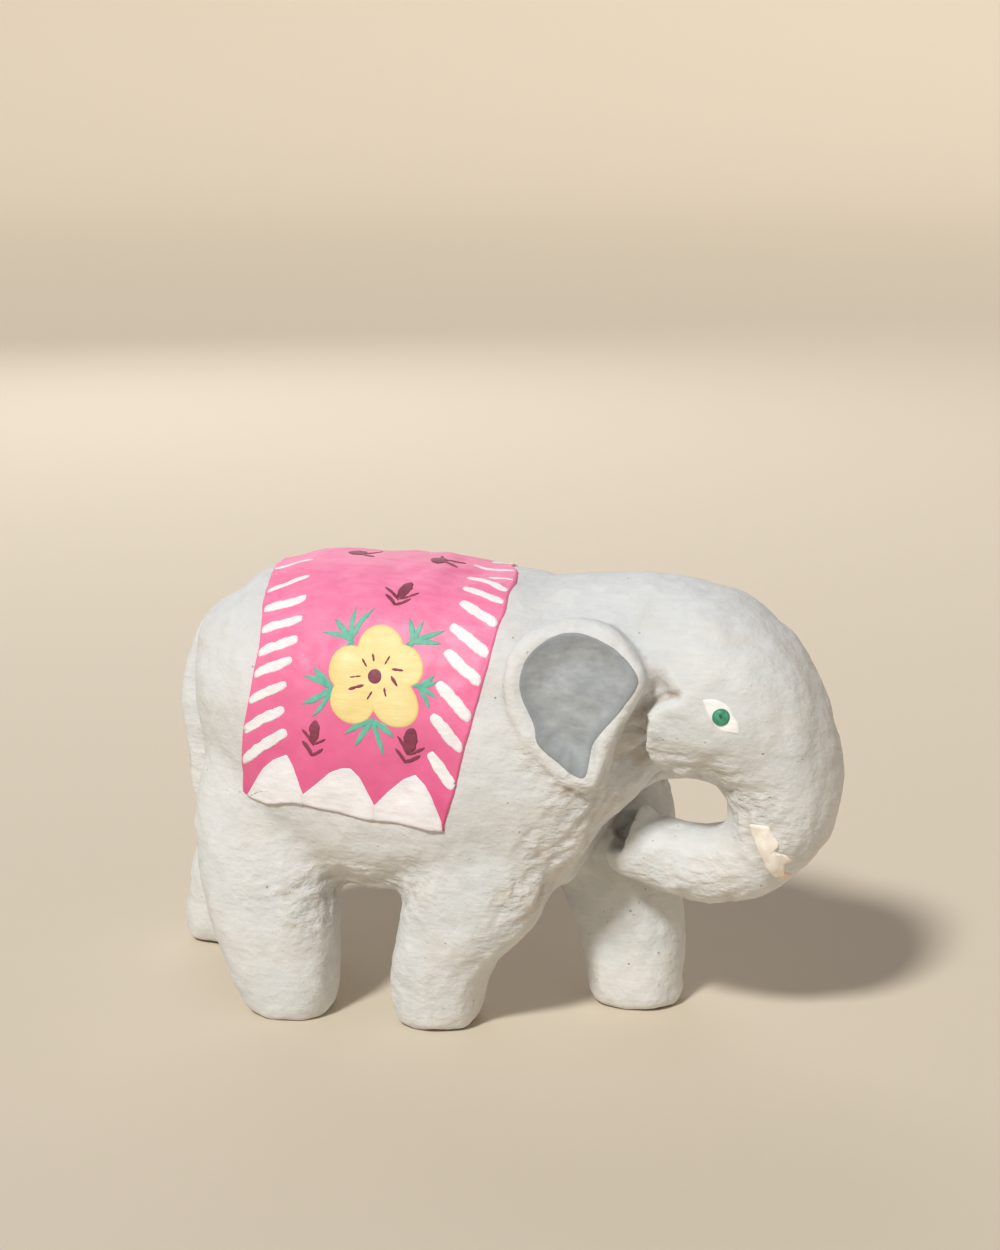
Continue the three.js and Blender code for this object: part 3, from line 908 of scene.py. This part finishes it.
clothPaint = {
    # where each white stroke leaves the edge, its inner end, and its width
    "rear": [
        (7.6, (-31.6, 5.3), 0.9), (15.6, (-29.4, 12.3), 1.1), (20.4, (-27.5, 19.0), 1.9),
        (25.2, (-26.7, 24.0), 1.8), (29.8, (-26.7, 28.2), 1.9), (33.8, (-27.1, 32.2), 1.8),
        (38.6, (-27.7, 36.7), 1.7), (43.9, (-28.1, 41.4), 1.9), (50.0, (-27.4, 45.6), 2.1),
    ],
    "front": [
        (6.1, (4.4, 5.8), 0.6), (11.4, (0.5, 7.0), 1.4), (14.8, (1.4, 11.8), 1.5),
        (19.9, (2.4, 16.1), 2.0), (26.2, (2.0, 21.5), 2.3), (31.7, (2.0, 26.6), 2.3),
        (38.5, (1.5, 32.6), 2.4), (44.6, (1.1, 38.6), 2.4), (52.0, (0.6, 46.0), 2.4),
    ],
    "spine": [((-1.0, 0), (8.2, 0.4), 1.1, 0.2)],
    "humps": [
        [(-38.4, 57.3), (-35.1, 54.1), (-33.1, 52.0), (-30.7, 50.6), (-27.9, 50.0), (-26.5, 52.5),
         (-24.5, 57.8)],
        [(-25.0, 58.0), (-22.5, 56.1), (-19.1, 53.6), (-16.6, 52.7), (-14.5, 52.4), (-12.7, 54.0),
         (-9.9, 59.1)],
        [(-10.4, 59.3), (-7.6, 56.1), (-4.4, 52.9), (-1.9, 51.1), (0.2, 52.3), (1.6, 54.3), (3.6, 59.6)],
    ],
    "humpMiddle": (0.5, 56.6),  # past the middle of the hump along x, and out from the spine
    "flower": (-10.2, 34.7),
    "heart": 1.55,
    "petals": [(-9.9, 29.2, 4.5), (-4.9, 31.7, 4.0), (-5.9, 38.8, 4.7), (-14.4, 39.6, 4.6),
               (-15.3, 33.9, 4.5)],
    "stamens": [
        ((-11.2, 30.4), (-10.6, 32.2), 0.6, 0), ((-7.6, 30.3), (-8.6, 32.4), 0.45, 0),
        ((-7.2, 32.9), (-4.6, 32.7), 0.65, 0), ((-7.1, 34.0), (-5.5, 35.9), 0.75, 0),
        ((-8.1, 36.2), (-7.6, 38.2), 0.6, 0.1), ((-10.3, 37.3), (-11.5, 39.3), 0.45, 0),
        ((-11.9, 36.4), (-15.5, 37.8), 0.6, 0), ((-12.7, 34.9), (-15.3, 35.5), 0.35, 0),
        ((-13.1, 31.6), (-11.9, 33.3), 0.6, 0),
    ],
    # sprigs: the foot, then the tip and the width of every blade
    "sprigs": [
        ((-15.9, 28.9), [(-22.6, 26.9, 0.8), (-20.6, 24.0, 1.0), (-16.4, 21.3, 0.8), (-12.4, 21.1, 0.9)]),
        ((-4.3, 27.5), [(-5.7, 22.3, 1.0), (-2.7, 22.0, 0.7), (2.0, 22.6, 0.8), (1.8, 25.6, 0.9)]),
        ((-2.1, 34.6), [(1.2, 31.4, 0.8), (2.0, 32.6, 0.8), (2.3, 35.8, 0.8), (0.8, 38.4, 0.8)]),
        ((-18.8, 37.8), [(-25.3, 35.1, 0.9), (-23.2, 33.4, 1.0), (-25.1, 40.8, 1.1), (-22.9, 43.3, 0.8)]),
        ((-10.3, 43.2), [(-16.0, 46.4, 0.9), (-13.8, 48.7, 0.9), (-7.8, 49.6, 0.9), (-5.6, 45.6, 1.1)]),
    ],
    "bladeBends": (0.5, 0.2, -0.2, -0.5),
    # buds: foot, tip and width of the bud, then its leaves
    "buds": [
        ((-8.9, 18.7), (-8.1, 13.3), 2.4, [
            ((-9.1, 18.8), (-12.9, 15.5), 0.7), ((-9.2, 20.2), (-11.9, 17.9), 0.8),
            ((-9.2, 20.2), (-6.4, 18.2), 0.8), ((-8.6, 18.6), (-5.2, 16.4), 0.6)]),
        ((-22.3, 48.0), (-21.8, 43.4), 2.3, [
            ((-22.4, 48.2), (-24.8, 45.2), 0.8), ((-22.7, 50.2), (-24.8, 47.4), 1.0),
            ((-22.7, 50.2), (-20.0, 48.9), 0.8), ((-22.2, 48.0), (-19.5, 47.1), 0.6)]),
        ((-3.4, 47.8), (-2.1, 42.3), 2.5, [
            ((-3.5, 47.7), (-5.3, 44.7), 0.8), ((-3.9, 49.5), (-5.8, 47.2), 0.9),
            ((-3.9, 49.5), (-0.8, 47.1), 0.8), ((-3.2, 47.7), (0.1, 45.3), 0.6)]),
    ],
    # along the spine there is one set for both sides
    "spineBuds": [
        ((-26.8, -0.4), (-23.0, -0.1), 4.6, [
            ((-23.4, -0.5), (-20.6, -3.4), 1.0), ((-23.2, 0.5), (-20.0, 2.6), 1.0)]),
        ((-8.6, 2.4), (-5.2, 1.6), 5.2, [
            ((-5.6, 2.4), (-2.0, 4.4), 1.0), ((-5.6, 1.4), (-2.2, -0.6), 1.0),
            ((-7.0, 0.6), (-8.2, -2.6), 0.8)]),
    ],
    # how much wider the loaded brush paints, and how far blades and leaves run back past their foot
    "wider": {"rear": 1.2, "front": 1.1, "stamens": 1.25, "sprigs": 1.45, "bud": 1.1, "leaf": 1.15},
    "rooted": {"sprigs": 0.22, "leaf": 0.14},
    # thickness of the paint and the cells across a patch
    "body": {"strokes": (0.13, 14), "hem": (0.13, 34), "flower": (0.14, 52), "stamens": (0.26, 12),
             "sprigs": (0.12, 14), "buds": (0.12, 14)},
}


def budShapes(rows):
    wider, rooted = clothPaint["wider"], clothPaint["rooted"]
    shapes = []
    for foot, tip, width, leaves in rows:
        body = stroke(foot, tip, width * wider["bud"], blunt=2.2, leaf=0.1)
        shapes.append((body, body.middle))
        for start, end, wide in leaves:
            start = start - rooted["leaf"] * (np.array(end) - start)
            shapes += strokes([(start, end, wide * wider["leaf"], 0.15)], blunt=2.4, leaf=0.3)
    return shapes


def paintOnCloth(kind, where, shapes, material):
    place = onCloth(where if where in sides else "right")
    lift, cells = clothPaint["body"][kind]
    paintPiece(f"cloth_{kind}_{where}", shapes, place, material, lift, cells)


def paintCloth(side):
    wider = clothPaint["wider"]
    edge = []
    for along, inner, width in clothPaint["rear"]:
        edge.append(((rearEdge(along) + 0.1, along), inner, width * wider["rear"], 0.0))
    for along, inner, width in clothPaint["front"]:
        edge.append((inner, (frontEdges[side](along) - 0.1, along), width * wider["front"], 0.0))
    paintOnCloth("strokes", side, strokes(edge, blunt=3.6), whitePaint)
    humps = []
    for top in clothPaint["humps"]:
        hem = [(x, hemEdge(x) + 0.2) for x in np.linspace(top[-1][0], top[0][0], 6)]
        past, out = clothPaint["humpMiddle"]
        humps.append((closedOutline(top + hem), ((top[0][0] + top[-1][0]) / 2 + past, out)))
    paintOnCloth("hem", side, humps, whitePaint)
    flower = clothPaint["flower"]
    paintOnCloth("flower", side, [(petals(flower, clothPaint["petals"]), flower)], yellowPaint)
    rows = [(*row[:2], row[2] * wider["stamens"], row[3]) for row in clothPaint["stamens"]]
    heart = (petals(flower, [(*flower, clothPaint["heart"])]), flower)
    paintOnCloth("stamens", side, strokes(rows, blunt=2.4, leaf=0.2) + [heart], maroonPaint)
    blades = []
    for foot, tips in clothPaint["sprigs"]:
        for (x, along, width), bend in zip(tips, clothPaint["bladeBends"]):
            start = foot - clothPaint["rooted"]["sprigs"] * (np.array((x, along)) - foot)
            blades.append((start, (x, along), width * wider["sprigs"], bend))
    paintOnCloth("sprigs", side, strokes(blades, blunt=2.0, leaf=0.5), mintPaint)
    paintOnCloth("buds", side, budShapes(clothPaint["buds"]), maroonPaint)


for side in sides:
    paintCloth(side)
paintOnCloth("strokes", "spine", strokes(clothPaint["spine"], blunt=2.6), whitePaint)
paintOnCloth("buds", "spine", budShapes(clothPaint["spineBuds"]), maroonPaint)
print("cloth painted")


# Face: grey inside of the ears, eyes and tusks. Each is an outline or a round spot in side view, and
# its body is the thickness of the paint and the cells across.

face = {
    "ear_inner": {
        "paint": earPaint, "slot": "skin_paint", "body": (0.12, 60), "centre": (28.2, 69.5),
        "smooth": True,
        "outline": [(17.6, 70.1), (18.4, 75.8), (22.2, 79.9), (27.0, 81.2), (32.7, 79.7), (37.5, 76.4),
                    (39.6, 72.7), (36.7, 67.6), (32.9, 62.9), (31.0, 59.9), (30.1, 54.6), (28.1, 54.4),
                    (25.2, 56.6), (21.3, 60.0), (20.3, 63.7)],
    },
    "eye_white": {
        "paint": eyeWhite, "slot": "eye_paint", "body": (0.12, 24), "centre": (54.0, 66.7),
        "outline": [(50.5, 69.9), (51.7, 70.1), (53.1, 70.0), (54.6, 69.3), (55.6, 68.4), (56.3, 66.9),
                    (57.3, 65.6), (57.4, 63.5), (55.7, 63.8), (54.3, 63.9), (53.0, 64.9), (52.1, 66.3),
                    (51.2, 68.0)],
    },
    "eye_bead": {
        "paint": irisPaint, "slot": "eye_paint", "body": (0.35, 24), "centre": (54.0, 66.7),
        "radius": 1.68, "dome": 0.5, "replaces": "eye",
    },
    "eye_nub": {
        "paint": nubPaint, "slot": "eye_paint", "body": (1.1, 10), "centre": (53.8, 67.1),
        "radius": 0.42, "dome": 0.25,
    },
    "tusk_strip": {
        "paint": creamPaint, "slot": "tusk_paint", "body": (0.3, 34), "centre": (61.6, 39.4),
        "outline": [(57.9, 45.1), (59.8, 45.2), (61.6, 45.0), (62.4, 43.2), (63.6, 41.9), (63.5, 41.1),
                    (62.8, 40.7), (63.1, 39.8), (64.6, 39.2), (65.6, 37.9), (64.2, 37.2), (63.9, 35.6),
                    (63.6, 34.2), (61.9, 33.8), (60.4, 37.3), (59.2, 40.8), (58.1, 43.4)],
        "dome": 0.1, "replaces": "tusk",
    },
    "tusk_end": {
        "paint": tanPaint, "slot": "tusk_paint", "body": (0.2, 12), "centre": (63.4, 33.9),
        "outline": [(63.6, 35.3), (64.4, 34.8), (64.6, 34.0), (63.5, 33.2), (62.6, 33.2), (62.1, 33.9),
                    (62.9, 34.5)],
    },
}
foreheadChip = {  # a bare spot, on the right only
    "paint": tanPaint, "slot": "bare_dowel", "body": (0.02, 8), "centre": (53.9, 79.5),
    "outline": [(53.8, 79.9), (54.2, 79.6), (54.1, 79.2), (53.8, 79.3), (53.6, 79.6)],
}


def paintFace(name, spot, side):
    centre = spot["centre"]
    if "radius" in spot:
        outline = petals(centre, [(*centre, spot["radius"])])
    else:
        outline = closedOutline(spot["outline"], spot.get("smooth", False))
    replaced = f"{spot['replaces']}_{side}" if "replaces" in spot else None
    lift, cells = spot["body"]
    paintPiece(name, [(outline, centre)], fromSide(side), spot["paint"], lift, cells,
               spot.get("dome", 0.0), replaced)


for side in sides:
    for name, spot in face.items():
        paintFace(f"{name}_{side}", spot, side)
paintFace("forehead_chip", foreheadChip, "right")
print("face painted")


# Camera, floor and lights

studio = {  # metres
    "lens": 77.76,
    "camera": (0.178589, -0.477477, 0.188104),
    "right": (0.93969, 0.34202, 0), "up": (-0.07344, 0.20179, 0.97667),
    "forward": (-0.33404, 0.91777, -0.21474),
    "floorColour": "#DACDB9",
    "floor": 2.2, "curve": 0.9, "height": 1.8, "curveSteps": 12, "turns": 96,
    "key": {"towards": (0.12, 0.70, -0.72), "strength": 2.65, "angle": 9, "colour": "#FFFFFD"},
    "aim": (0, 0, 0.04),
    "fill": {"place": (0.7, -0.5, 0.4), "size": 0.6, "power": 0.3, "colour": "#F2F6FF"},
    "back": {"place": (-0.5, 0.75, 0.55), "size": 0.8, "power": 2.2, "colour": "#F6F8FF"},
    "world": {"Color": "#EEF2F8", "Strength": 0.2},
}


def placeCamera():
    camera = stand("camera", bpy.data.cameras.new("camera"))
    camera.data.lens = studio["lens"]
    turn = Matrix((studio["right"], studio["up"], [-c for c in studio["forward"]])).transposed()
    camera.matrix_world = Matrix.Translation(studio["camera"]) @ turn.to_4x4()
    bpy.context.scene.camera = camera


# A round sheet of paper that curves up into a wall all around.
def layFloor():
    material, shader = newMaterial("palePaperSweep", 0.9)
    shader.inputs["Base Color"].default_value = hexColour(studio["floorColour"])
    flat, curve, height, steps = (studio[key] for key in ("floor", "curve", "height", "curveSteps"))
    turns = [math.pi / 2 * i / steps for i in range(1, steps + 1)]
    profile = [(0, 0, 0), (flat, 0, 0)]
    profile += [(flat + curve * math.sin(turn), 0, curve * (1 - math.cos(turn))) for turn in turns]
    profile.append((flat + curve, 0, height))
    bm = bmesh.new()
    points = [bm.verts.new(point) for point in profile]
    line = [bm.edges.new(pair) for pair in zip(points[:-1], points[1:])]
    bmesh.ops.spin(bm, geom=points + line, axis=(0, 0, 1), cent=(0, 0, 0), angle=2 * math.pi,
                   steps=studio["turns"], use_merge=True)
    bmesh.ops.remove_doubles(bm, verts=bm.verts, dist=0.1 * mm)
    bmesh.ops.recalc_face_normals(bm, faces=bm.faces)
    floor = newPiece("floor", bm, material)
    floor.visible_shadow = False  # its far wall stays out of the key's way


def setLights():
    look = studio["key"]
    sun = bpy.data.lights.new("key", "SUN")
    sun.energy, sun.angle = look["strength"], math.radians(look["angle"])
    sun.color = hexColour(look["colour"])[:3]
    stand("key", sun, towards=look["towards"])
    for name in ("fill", "back"):
        look = studio[name]
        lamp = bpy.data.lights.new(name, "AREA")
        lamp.shape, lamp.size, lamp.energy = "DISK", look["size"], look["power"]
        lamp.color = hexColour(look["colour"])[:3]
        stand(name, lamp, look["place"], Vector(studio["aim"]) - Vector(look["place"]))
    world = bpy.data.worlds.new("studio")
    world.use_nodes = True
    sky = world.node_tree.nodes["Background"].inputs
    sky["Color"].default_value = hexColour(studio["world"]["Color"])
    sky["Strength"].default_value = studio["world"]["Strength"]
    bpy.context.scene.world = world
    bpy.context.scene.view_settings.view_transform = "Standard"


placeCamera()
layFloor()
setLights()
print("camera, floor and lights set")

for name in dowelNames:
    nodes[name].data.materials.clear()
    nodes[name].data.materials.append(bareWood)
